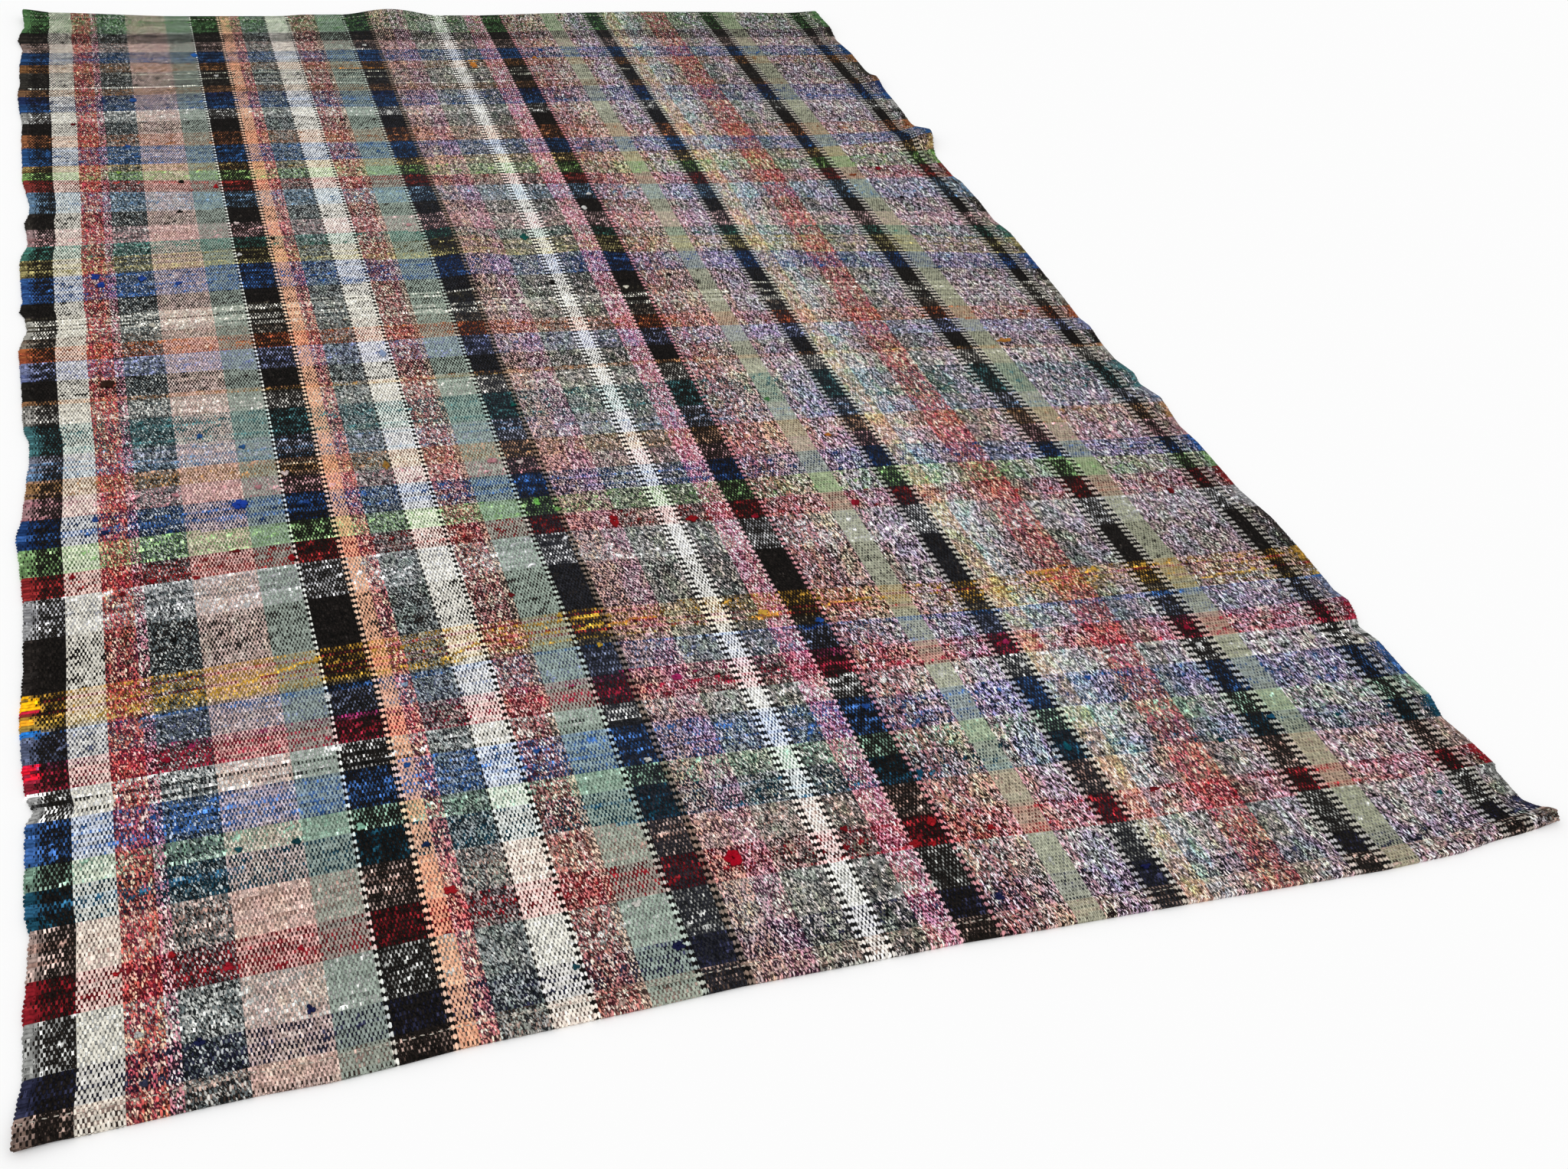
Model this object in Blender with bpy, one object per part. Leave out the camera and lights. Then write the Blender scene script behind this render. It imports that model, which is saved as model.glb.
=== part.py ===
"""A flat-woven rag rug, woven in one piece, lying on the floor.

Warp threads run along Y and rag wefts along X. The near end (-Y) and the far end (+Y) are folded once and stitched
down as hems, and the long sides are plain selvedges where the rags turn round. Sizes are in metres, +Z is up, and
the origin is at the centre of the rug's box, on the floor.
"""

import math
from collections import namedtuple

import bmesh
import bpy

# Driving sizes
WIDTH = 1.750  # across the rug, between the straight lines that the selvedges wander about
LENGTH = 2.752  # along the rug, from fold to fold of the two hems
CLOTH = 0.0035  # thickness of the single weave: rags between two layers of warp
HEM_DEPTH = 0.028  # how far in each end is folded
HEM_EXTRA = 0.0020  # what the folded layer adds, pressed by the stitching
HEM_STEP = 0.005  # the width over which the hem's thickness runs out
COLUMNS = 30  # faces across
FIELD_ROWS = 52  # faces along, between the hems

MM = 0.001
SELVEDGE_REACH = 0.055  # how far into the cloth a bulge of the selvedge is felt
END_REACH = 0.160  # how far into the cloth a bow of the end is felt
KNOT_TOP = 0.6  # a knot's flat top, as a share of its foot
KNOT_MARGIN = 0.002  # the least room kept between a knot and the edge of its face
FIRST_INSET = 0.0005  # a ring is drawn this far in before its corners are placed
CREASE = math.radians(40)  # sharper edges than this are shaded as edges

# What the edges do, in millimetres: how far along or across a point lies, and how far out the edge is there.
EdgePoint = namedtuple("EdgePoint", "at out")

LEFT_SELVEDGE = [
    EdgePoint(*row)
    for row in (
        (0, 9), (30, 8), (75, 0), (150, 0), (210, -4), (245, -6), (270, -1), (400, -2), (418, -11),
        (440, -3), (485, 1), (570, 4), (650, 0), (780, 0), (850, 4), (925, 9), (970, 1), (1060, -5),
        (1090, -8), (1145, -8), (1180, 0), (1290, 2), (1395, 6), (1430, 0), (1455, -6), (1500, -2),
        (1515, 5), (1545, 1), (1670, 5), (1700, 2), (1738, -8), (1815, -2), (1850, -10), (1885, -10),
        (1975, 1), (2140, 3), (2220, 2), (2280, 7), (2350, 10), (2400, 6), (2490, 7), (2570, 1),
        (2620, 10), (2650, 5), (2680, -3), (2752, 0),
    )
]
RIGHT_SELVEDGE = [
    EdgePoint(*row)
    for row in (
        (0, 20), (15, 28), (30, 10), (45, 0), (100, 1), (112, 8), (160, 2), (205, -7), (250, 5),
        (300, 0), (365, 1), (400, -10), (420, 1), (455, 11), (480, 3), (575, 8), (660, 9), (735, -3),
        (870, 0), (920, -6), (1005, 7), (1050, -9), (1085, -1), (1130, -13), (1185, -12), (1245, -4),
        (1275, -11), (1355, -5), (1450, -1), (1600, 5), (1655, -6), (1740, -1), (1825, -2), (1850, -9),
        (1940, -8), (1990, 3), (2015, 12), (2050, 20), (2064, 6), (2080, -1), (2160, 6), (2240, 10),
        (2300, 10), (2350, 14), (2364, 6), (2500, 10), (2575, 3), (2650, 13), (2690, 11), (2752, 12),
    )
]
NEAR_END = [
    EdgePoint(*row)
    for row in (
        (0, 12), (30, 8), (150, 4), (210, 3), (270, 5), (345, 1), (400, -3), (500, -4), (600, -6),
        (690, -9), (850, -7), (950, -7), (1050, -3), (1200, 1), (1350, 6), (1500, 11), (1610, 9),
        (1665, 1), (1700, -1), (1750, -6),
    )
]
FAR_END = [
    EdgePoint(*row)
    for row in (
        (0, 4), (200, -2), (300, -5), (450, -7), (520, -7), (560, 0), (745, 0), (865, -9), (950, -10),
        (1020, -6), (1100, 1), (1200, 5), (1340, 9), (1400, 6), (1500, 5), (1600, 1), (1650, -4),
        (1750, -1),
    )
]

# Where the cloth lifts off the floor, in millimetres from the near left corner. Elsewhere it lies flat.
Swell = namedtuple("Swell", "across along half_across half_along height")

SWELLS = [
    Swell(*row)
    for row in (
        (752, 2752, 105, 160, 12),  # buckle in the far end
        (0, 2775, 60, 60, 7),  # far left corner, turned up at its tip
        (0, 2770, 300, 200, 7),
        (1765, 2035, 60, 85, 13),  # the right selvedge humps up where a rag is pulled
        (1775, 2335, 60, 70, 7),
        (1765, 2690, 70, 110, 5),
        (1785, 15, 60, 60, 5),  # near right corner, a rolled tip
        (-8, -8, 70, 70, 4),  # near left corner
        (712, 1650, 85, 260, 8),  # two soft ridges along the warp
        (915, 1690, 75, 200, 7),
        (430, 2290, 240, 300, 4),  # low swells in the field
        (1270, 1880, 260, 260, 4),
        (1060, 2420, 220, 240, 4),
        (330, 1180, 210, 260, 3),
        (1390, 900, 240, 240, 3),
        (620, 620, 220, 220, 3),
    )
]

# Rag knots that stand up from the face, in millimetres.
Knot = namedtuple("Knot", "across along wide long high")

KNOTS = [
    Knot(*row)
    for row in (
        (737, 181, 20, 26, 5), (951, 154, 16, 12, 4), (985, 182, 12, 14, 4), (191, 155, 10, 13, 4),
        (263, 83, 10, 13, 4), (642, 74, 13, 12, 4), (157, 70, 10, 10, 3), (423, 205, 16, 12, 4),
        (614, 141, 12, 8, 3), (482, 421, 10, 9, 4), (338, 538, 9, 8, 3), (430, 542, 8, 8, 3),
        (150, 468, 11, 10, 4), (1052, 158, 10, 8, 3), (1015, 57, 10, 11, 3), (1206, 264, 9, 14, 4),
        (1217, 420, 9, 8, 3), (1483, 409, 9, 10, 4), (1505, 258, 12, 9, 3), (980, 560, 12, 10, 4),
        (760, 488, 14, 12, 4), (910, 590, 16, 12, 4), (272, 946, 21, 22, 5), (339, 1012, 10, 12, 4),
        (670, 887, 9, 18, 4), (766, 824, 14, 24, 4), (878, 810, 18, 13, 4), (1127, 807, 14, 13, 4),
        (1633, 753, 11, 15, 4), (326, 818, 10, 13, 4), (185, 1450, 12, 22, 4), (775, 1448, 15, 20, 5),
        (768, 1472, 10, 10, 4), (957, 1776, 10, 18, 4), (980, 1833, 9, 9, 3), (1032, 1420, 12, 10, 4),
        (1092, 1425, 12, 10, 4), (667, 2222, 12, 24, 5), (1375, 1905, 13, 13, 4), (1590, 1895, 14, 14, 4),
        (325, 2530, 14, 22, 4), (155, 1995, 16, 12, 4), (810, 1678, 14, 16, 4), (875, 1570, 16, 18, 4),
    )
]

RAG_BROWN = (0.16, 0.13, 0.12, 1.0)  # the mixed rags seen from far off


def edge_at(points, place):
    """How far out an edge is, in metres, at a place along it in metres."""
    before = points[0]
    for point in points:
        if point.at * MM >= place:
            span = (point.at - before.at) * MM
            share = (place - before.at * MM) / span if span else 0.0
            return (before.out + (point.out - before.out) * share) * MM
        before = point
    return before.out * MM


def lift_at(across, along):
    """The height of the underside above the floor."""
    lift = 0.0
    for swell in SWELLS:
        dx = (across - swell.across * MM) / (swell.half_across * MM)
        dy = (along - swell.along * MM) / (swell.half_along * MM)
        inside = 1.0 - dx * dx - dy * dy
        if inside > 0.0:
            lift += swell.height * MM * inside * inside
    return lift


def thickness_at(along):
    """The single cloth, and the folded layer near each end."""
    from_end = min(along, LENGTH - along)
    fold = min(1.0, max(0.0, (HEM_DEPTH + HEM_STEP - from_end) / HEM_STEP))
    return CLOTH + HEM_EXTRA * fold


def laid_out(across, along):
    """Where a point of the cloth lies on the floor, with the edges' bulges dying away into the cloth."""
    x = across
    x -= edge_at(LEFT_SELVEDGE, along) * math.exp(-across / SELVEDGE_REACH)
    x += edge_at(RIGHT_SELVEDGE, along) * math.exp(-(WIDTH - across) / SELVEDGE_REACH)
    y = along
    y -= edge_at(NEAR_END, across) * math.exp(-along / END_REACH)
    y += edge_at(FAR_END, across) * math.exp(-(LENGTH - along) / END_REACH)
    return x, y


def surface_point(across, along, above):
    """A point of the cloth: above is its height over the underside."""
    x, y = laid_out(across, along)
    return x, y, lift_at(x, y) + above


def row_places():
    """Where the rows of faces meet, along the rug: close together in the hems."""
    hem = [0.0, HEM_DEPTH / 2, HEM_DEPTH, HEM_DEPTH + HEM_STEP]
    start, stop = hem[-1], LENGTH - hem[-1]
    field = [start + (stop - start) * step / FIELD_ROWS for step in range(1, FIELD_ROWS)]
    return hem + field + [LENGTH - place for place in reversed(hem)]


def woven_slab():
    """The closed slab of cloth, and its upper faces with the place of each face's middle."""
    places = row_places()
    rows = len(places) - 1
    slab = bmesh.new()
    bmesh.ops.create_grid(slab, x_segments=COLUMNS, y_segments=rows, size=0.5)
    sheet = list(slab.faces)
    grown = bmesh.ops.extrude_face_region(slab, geom=sheet, use_keep_orig=True)
    upper = {item for item in grown["geom"] if isinstance(item, bmesh.types.BMVert)}
    upper_faces = [item for item in grown["geom"] if isinstance(item, bmesh.types.BMFace)]
    for vert in slab.verts:
        across = (vert.co.x + 0.5) * WIDTH
        along = places[round((vert.co.y + 0.5) * rows)]
        above = thickness_at(along) if vert in upper else 0.0
        vert.co = surface_point(across, along, above)
    return slab, upper_faces


def raise_knot(slab, face, knot):
    """Draws a ring for the knot's foot inside a face of the cloth, and a smaller one for its top."""
    half = (knot.wide * MM / 2, knot.long * MM / 2)
    wanted = laid_out(knot.across * MM, knot.along * MM)
    centre = []
    for axis in (0, 1):
        values = [vert.co[axis] for vert in face.verts]
        low = min(values) + half[axis] + KNOT_MARGIN
        high = max(values) - half[axis] - KNOT_MARGIN
        centre.append(min(max(wanted[axis], low), high))
    for share, height in ((1.0, 0.0), (KNOT_TOP, knot.high * MM)):
        bmesh.ops.inset_individual(slab, faces=[face], thickness=FIRST_INSET)
        ring = [half[0] * share, half[1] * share]
        middle = face.calc_center_median()
        for vert in face.verts:
            x = centre[0] + math.copysign(ring[0], vert.co.x - middle.x)
            y = centre[1] + math.copysign(ring[1], vert.co.y - middle.y)
            vert.co = (x, y, lift_at(x, y) + CLOTH + height)


def raise_knots(slab, upper_faces):
    """Puts each knot in the face nearest to it, one knot to a face."""
    free = {face: face.calc_center_median() for face in upper_faces}
    for knot in KNOTS:
        x, y = laid_out(knot.across * MM, knot.along * MM)
        nearest = min(free, key=lambda face: (free[face].x - x) ** 2 + (free[face].y - y) ** 2)
        del free[nearest]
        raise_knot(slab, nearest, knot)


def centre_on_box(slab):
    """Moves the origin to the middle of the rug's box, on the floor."""
    xs = [vert.co.x for vert in slab.verts]
    ys = [vert.co.y for vert in slab.verts]
    middle = ((min(xs) + max(xs)) / 2, (min(ys) + max(ys)) / 2, 0.0)
    bmesh.ops.translate(slab, verts=slab.verts, vec=[-value for value in middle])


def rag_cloth_material():
    material = bpy.data.materials.new("mixed_rag_cloth")
    material.use_nodes = True
    shader = material.node_tree.nodes["Principled BSDF"]
    shader.inputs["Base Color"].default_value = RAG_BROWN
    shader.inputs["Roughness"].default_value = 0.9
    shader.inputs["Metallic"].default_value = 0.0
    return material


def build_rug():
    slab, upper_faces = woven_slab()
    raise_knots(slab, upper_faces)
    centre_on_box(slab)
    bmesh.ops.recalc_face_normals(slab, faces=slab.faces)
    mesh = bpy.data.meshes.new("rug")
    slab.to_mesh(mesh)
    slab.free()
    mesh.shade_smooth()
    mesh.set_sharp_from_angle(angle=CREASE)
    mesh.materials.append(rag_cloth_material())
    rug = bpy.data.objects.new("rug", mesh)
    bpy.context.collection.objects.link(rug)
    return rug


for old in list(bpy.data.objects):
    bpy.data.objects.remove(old, do_unlink=True)
build_rug()
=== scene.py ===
import math
import random
from collections import namedtuple
from functools import partial

import bmesh
import bpy
import numpy as np
from mathutils import Matrix, Vector


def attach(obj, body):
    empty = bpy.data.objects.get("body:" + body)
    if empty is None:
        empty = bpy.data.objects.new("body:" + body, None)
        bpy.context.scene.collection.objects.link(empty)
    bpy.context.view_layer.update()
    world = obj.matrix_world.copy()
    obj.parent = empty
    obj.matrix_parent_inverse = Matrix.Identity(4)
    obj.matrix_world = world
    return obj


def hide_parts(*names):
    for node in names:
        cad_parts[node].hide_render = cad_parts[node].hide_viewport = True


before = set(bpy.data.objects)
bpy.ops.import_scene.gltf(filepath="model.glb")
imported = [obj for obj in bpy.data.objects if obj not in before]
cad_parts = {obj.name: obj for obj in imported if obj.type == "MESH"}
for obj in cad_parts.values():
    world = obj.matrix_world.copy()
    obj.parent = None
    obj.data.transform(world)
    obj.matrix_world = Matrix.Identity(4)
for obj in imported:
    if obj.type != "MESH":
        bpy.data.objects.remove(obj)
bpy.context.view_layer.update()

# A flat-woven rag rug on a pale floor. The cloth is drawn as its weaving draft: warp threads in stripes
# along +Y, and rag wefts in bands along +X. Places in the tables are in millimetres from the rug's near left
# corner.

MM = 0.001
WIDTH = 1.750  # the rug's sizes, as in its solid
LENGTH = 2.752
CLOTH = 0.0035
HEM_DEPTH = 0.028
HEM_EXTRA = 0.0020
HEM_STEP = 0.005
SELVEDGE_REACH = 0.055  # how far in the cloth follows its uneven edges
END_REACH = 0.160  # the same at the ends
MIDDLE = (0.884030, 1.374458)  # the middle of the solid's box, from the near left corner

WARPS = 781  # warp threads across the rug
PICKS = 483  # rows of weft along the rug
WARP = WIDTH / WARPS
PICK = LENGTH / PICKS
MOST_WARPS = 3  # a face is at most this many warps wide, and one row of weft long
LENGTHS = 12  # the cloth is kept in this many lengths, cut between rows of weft
RAG_LIFT = 0.0007  # how much higher the face stands over a thick rag than over a thin one
FOLD = 0.003  # how far in the fold at the ends is rounded
FOLD_TOP = 0.42  # how far the fold comes down from the face, as a share of the thickness
FOLD_UNDER = 0.36  # and up from the underside
FOLD_ROWS = (0.05, 0.15, 0.30, 0.55)  # rows of faces round the fold, in rows of weft from the end

RAG_RUN = (150, 900)  # millimetres that a rag runs before the next one
FIRST_RAG = 600  # the first rag starts up to this far outside
BAND_STRAY = 4  # millimetres by which a band's edge strays
RAG_SHADE = (0.7, 1.3)
RAG_SCATTER = (-0.12, 0.16)  # how much thinner or thicker than its band a rag lies
RAG_WAVES = ((0.16, 3), (0.10, 1.2))  # how much it wavers on its way, and over how many columns of faces
SELVEDGE = 15  # the outer millimetres, where the turning rags cover the warps
SELVEDGE_THICK = 0.8
SELVEDGE_EASE = 5
SELVEDGE_DULL = 3  # how much duller a pale rag looks there
BUNCHES = 4500  # short thick places in the rags
BUNCH_THICK = (0.4, 1.1)

LOOP_TUCK = 0.0012  # a selvedge loop sits up to this far in
LOOP_OUT = (0.0026, 0.0034)  # half its size outwards, then along the edge in rows of weft, then upwards
LOOP_ROWS = (0.46, 0.60)
LOOP_HIGH = (0.0014, 0.0017)
LOOP_SHADE = (0.9, 1.5)
STITCH_IN = 0.0245  # the hem's row of stitches, from the end
STITCH_PITCH = 0.009
STITCH_STRAY = 0.0008
STITCH_HALF = (0.0028, 0.0007, 0.0006)  # half its length, width and height
STITCH_LIFT = 0.0004
KNOT_HIGH = 0.0018  # a knot stands up this far, and a share of its size
KNOT_STEEP = 0.13
KNOT_GROWTH = 16  # it has two lumps, and one more for so many millimetres of its width and length
KNOT_SPREAD = 0.27  # how far the lumps lie from its middle, as a share of its size
KNOT_LUMP = (0.42, 0.62)  # half the size that one lump would have, as a share of the knot's
KNOT_PAINTED_SHADE = 0.7  # a knot is a little darker than its rag: painted shade for its creases
LUMPS_AT_ONCE = 32  # small lumps are made in batches, which is much quicker

MAP_STRIPS = 3  # the face of a length fills this many strips of its bake map, one above another
MAP_SCALE = 1 / 0.715  # map widths to the metre on the face
MAP_UNDER = 0.565  # the same on the underside, which fills a column beside the strips
MAP_GAP = 0.004
RIM_ROOM = 8  # gaps kept free for the rim at the map's end
RIM_FROM = 6.5  # the rim fills four narrow columns there, and the first starts this many gaps from the end
RIM_STEP = 1.6  # from one column to the next
SEED = 11


def table(columns, *rows, defaults=()):
    """Rows with named columns. The defaults fill the last columns of a short row."""
    row_kind = namedtuple("Row", columns, defaults=defaults)
    return [row_kind(*row) for row in rows]


# How far out each edge lies, from one end of it to the other.

LEFT_SELVEDGE = table(
    "at out",
    (0, 9), (30, 8), (75, 0), (150, 0), (210, -4), (245, -6), (270, -1), (400, -2), (418, -11), (440, -3),
    (485, 1), (570, 4), (650, 0), (780, 0), (850, 4), (925, 9), (970, 1), (1060, -5), (1090, -8), (1145, -8),
    (1180, 0), (1290, 2), (1395, 6), (1430, 0), (1455, -6), (1500, -2), (1515, 5), (1545, 1), (1670, 5),
    (1700, 2), (1738, -8), (1815, -2), (1850, -10), (1885, -10), (1975, 1), (2140, 3), (2220, 2), (2280, 7),
    (2350, 10), (2400, 6), (2490, 7), (2570, 1), (2620, 10), (2650, 5), (2680, -3), (2752, 0),
)
RIGHT_SELVEDGE = table(
    "at out",
    (0, 20), (15, 28), (30, 10), (45, 0), (100, 1), (112, 8), (160, 2), (205, -7), (250, 5), (300, 0),
    (365, 1), (400, -10), (420, 1), (455, 11), (480, 3), (575, 8), (660, 9), (735, -3), (870, 0), (920, -6),
    (1005, 7), (1050, -9), (1085, -1), (1130, -13), (1185, -12), (1245, -4), (1275, -11), (1355, -5),
    (1450, -1), (1600, 5), (1655, -6), (1740, -1), (1825, -2), (1850, -9), (1940, -8), (1990, 3), (2015, 12),
    (2050, 20), (2064, 6), (2080, -1), (2160, 6), (2240, 10), (2300, 10), (2350, 14), (2364, 6), (2500, 10),
    (2575, 3), (2650, 13), (2690, 11), (2752, 12),
)
NEAR_END = table(
    "at out",
    (0, 12), (30, 8), (150, 4), (210, 3), (270, 5), (345, 1), (400, -3), (500, -4), (600, -6), (690, -9),
    (850, -7), (950, -7), (1050, -3), (1200, 1), (1350, 6), (1500, 11), (1610, 9), (1665, 1), (1700, -1),
    (1750, -6),
)
FAR_END = table(
    "at out",
    (0, 4), (200, -2), (300, -5), (450, -7), (520, -7), (560, 0), (745, 0), (865, -9), (950, -10),
    (1020, -6), (1100, 1), (1200, 5), (1340, 9), (1400, 6), (1500, 5), (1600, 1), (1650, -4), (1750, -1),
)

SWELLS = table(
    "across along half_across half_along height",
    (752, 2752, 105, 160, 12), (0, 2775, 60, 60, 7), (0, 2770, 300, 200, 7), (1765, 2035, 60, 85, 13),
    (1775, 2335, 60, 70, 7), (1765, 2690, 70, 110, 5), (1785, 15, 60, 60, 5), (-8, -8, 70, 70, 4),
    (712, 1650, 85, 260, 8), (915, 1690, 75, 200, 7), (430, 2290, 240, 300, 4), (1270, 1880, 260, 260, 4),
    (1060, 2420, 220, 240, 4), (330, 1180, 210, 260, 3), (1390, 900, 240, 240, 3), (620, 620, 220, 220, 3),
)

# How far a row of weft runs out of its place, along the rug, at seven places across it.
DRIFTS = table(
    "along at_18 at_354 at_680 at_972 at_1210 at_1480 at_1740",
    (0, 0, 0, 0, 0, 0, 0, 0),
    (170, -16, -3, -1, -3, -19, -25, -44),
    (300, -12, 0, -1, -10, -12, -35, -59),
    (460, -10, 0, 0, -8, -10, -30, -40),
    (640, -31, -9, 9, -8, -36, -36, -50),
    (740, -24, -6, 6, -11, -24, -54, -49),
    (858, -21, -1, 2, -12, -17, -38, -58),
    (960, -5, 3, -3, -13, -15, -48, -65),
    (1250, 10, -2, 2, -2, -10, -28, -54),
    (1351, 1, 1, -1, -18, -33, -51, -79),
    (1545, -10, 4, -4, -11, -25, -58, -92),
    (1625, -4, 6, -6, -17, -37, -62, -102),
    (1783, 2, 0, 0, -18, -40, -66, -96),
    (1945, 32, 0, 0, -10, -45, -40, -40),
    (2025, 5, 3, -3, -7, -17, -22, 9),
    (2100, 5, 2, -3, -10, -15, -35, -25),
    (2262, 0, 0, 0, -5, 0, -17, -28),
    (2500, 0, 0, 0, 0, 0, 0, 0),
    (2752, 0, 0, 0, 0, 0, 0, 0),
)

# How far the warp wanders sideways, at thirteen places across the rug.
WANDERS = table(
    "along at_0 at_65 at_370 at_515 at_680 at_855 at_975 at_1215 at_1360 at_1470 at_1505 at_1700 at_1750",
    (0, 0, 2, -2, -1, 2, -1, 0, -4, -4, -6, -3, -3, 0),
    (200, 0, 3, -2, -1, 2, -1, 0, -4, -4, -4, -3, -3, 0),
    (525, 0, 2, 1, 0, 1, -2, -3, -1, 9, 3, 2, 3, 0),
    (900, 0, 5, -7, -6, -5, -7, -11, -3, -9, 4, 4, 0, 0),
    (1300, 0, 2, -6, -7, -5, -5, -8, -9, -16, -8, -2, -5, 0),
    (1700, 0, 1, -10, -6, 0, 0, -1, -8, -9, -1, 2, 2, 0),
    (2100, 0, 6, -12, -8, -4, -1, 1, -1, 2, 4, 2, 5, 3),
    (2500, 0, 6, -12, -11, -2, 0, 1, 0, -3, 4, 1, 6, 4),
    (2752, 0, 6, -12, -11, -2, 0, 1, 0, -3, 4, 1, 6, 4),
)

# Warp stripes from left to right. A marled stripe mixes three yarns. In a ladder, warps of the first and the
# third colour take turns, so each row of weft shows one of them alone. The show is how much more of the rags
# is seen between the warps. The grain is how much the marl's colours drift, from 0 to 1. The rib is how far
# the warps stand up as ribs, which is never less than the grain.
# The rib also sets the painted shade in the grooves between the warps and painted light on their middles.
STRIPES = table(
    "start first second third show ladder grain rib",
    (0, "171412", "1f1b18", "110f0d", 0.03),
    (45, "e2dfd4", "d8d4c8", "cec9bc", -0.06),
    (87, "cc5e56", "561c28", "ecc0a8", -0.03, 0, 0.5),
    (125, "d08a98", "2c1826", "f0dcd8", -0.03, 0, 0.4),
    (140, "626c6e", "171b1d", "c4c8c4", 0.08),
    (200, "d0b8ae", "b29a90", "dccabf", 0.06, 0, 0.2),
    (283, "8e9a90", "99a59b", "858f85", -0.02),
    (333, "dce0d8", "121110", "121110", -0.05, 1),
    (338, "151311", "1e1a18", "0f0e0d", -0.01),
    (392, "ecc4a8", "121110", "121110", -0.05, 1),
    (398, "e8ac8a", "ecb694", "dc9c7a", -0.08),
    (418, "dc8c84", "4c2030", "f4ccb8", -0.03, 0, 0.5),
    (440, "87928f", "1f2427", "b4bbb6", -0.03, 0, 0.3),
    (490, "eae6dc", "141210", "141210", -0.05, 1),
    (494, "e8e5da", "eeebe2", "dad6cc", -0.12),
    (534, "eae6dc", "141210", "141210", -0.05, 1),
    (540, "c4867e", "421c20", "ecd8c8", -0.03, 0, 0.5),
    (585, "d2b6a2", "443430", "e4d0bc", -0.03),
    (593, "95a498", "9fada1", "8a9a8e", -0.02),
    (648, "b8c4ba", "121110", "121110", -0.05, 1),
    (655, "1e1f24", "292a30", "17181b", -0.02),
    (697, "847468", "121110", "121110", 0.0, 1),
    (705, "d0b8b0", "36242c", "dcb4a4", -0.08, 0, 0.6),
    (745, "cca4ac", "3a2030", "ead4d2", -0.08, 0, 0.6),
    (780, "a4a89c", "26292a", "d4d0c6", -0.08, 0, 0.5),
    (834, "eae8e2", "1c1b1a", "1c1b1a", -0.08, 1),
    (843, "f0eee8", "f6f5f1", "e4e2dc", -0.15),
    (862, "eae8e2", "1c1b1a", "1c1b1a", -0.08, 1),
    (870, "747870", "1a1d1f", "d0ccc2", -0.08, 0, 0.6),
    (910, "e8a6b2", "6e2840", "f6e2e2", 0.0, 0, 0.7),
    (945, "e8b8c0", "141112", "141112", 0.0, 1),
    (950, "151311", "1e1a18", "0f0e0d", -0.06),
    (992, "c88a90", "141112", "141112", 0.0, 1),
    (1000, "bc8880", "1e1216", "e8d0cc", -0.08, 0, 0.9),
    (1050, "dcbcae", "241a18", "f0dccf", -0.08, 0, 0.9),
    (1090, "a2a490", "aaac98", "949682", -0.04, 0, 0, 0.9),
    (1125, "d0aeb0", "241a1e", "ecdcd6", -0.08, 0, 0.9),
    (1140, "c0b2c2", "18151c", "f2ecf2", -0.08, 0, 1),
    (1188, "aca8a8", "131214", "131214", -0.03, 1),
    (1197, "1c1d20", "26272c", "141518", -0.05),
    (1225, "c4c0b4", "131211", "131211", -0.03, 1),
    (1235, "dccca8", "84745c", "f0e6d0", -0.08, 0, 1),
    (1265, "c8dad2", "525e60", "f6f4e2", -0.08, 0, 1),
    (1295, "d0c8c8", "131216", "ece8e8", -0.08, 0, 1),
    (1310, "bcaca4", "28201f", "dcd2ca", -0.08, 0, 1),
    (1330, "c2706a", "442022", "e4c4b4", -0.08, 0, 0.8),
    (1388, "92968e", "24282a", "c8c8c0", -0.08, 0, 0.9),
    (1420, "b8aeb4", "26222a", "e0dada", -0.08, 0, 1),
    (1458, "b8b4b0", "131210", "131210", -0.03, 1),
    (1470, "1a1715", "22201e", "121110", -0.12),
    (1500, "b4b0a4", "121110", "121110", -0.03, 1),
    (1512, "989a84", "a0a28c", "8a8c76", -0.04, 0, 0, 0.9),
    (1550, "b2a2a8", "161218", "eae4e4", -0.08, 0, 1),
    (1679, "a8a4a0", "131210", "131210", -0.03, 1),
    (1689, "141210", "1c1917", "0f0d0c", -0.14),
    (1711, "a09c94", "121110", "121110", -0.03, 1),
    (1722, "7c7b75", "121110", "c8c4bc", -0.08, 0, 1),
    defaults=(0, 0, 0),
)

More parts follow.
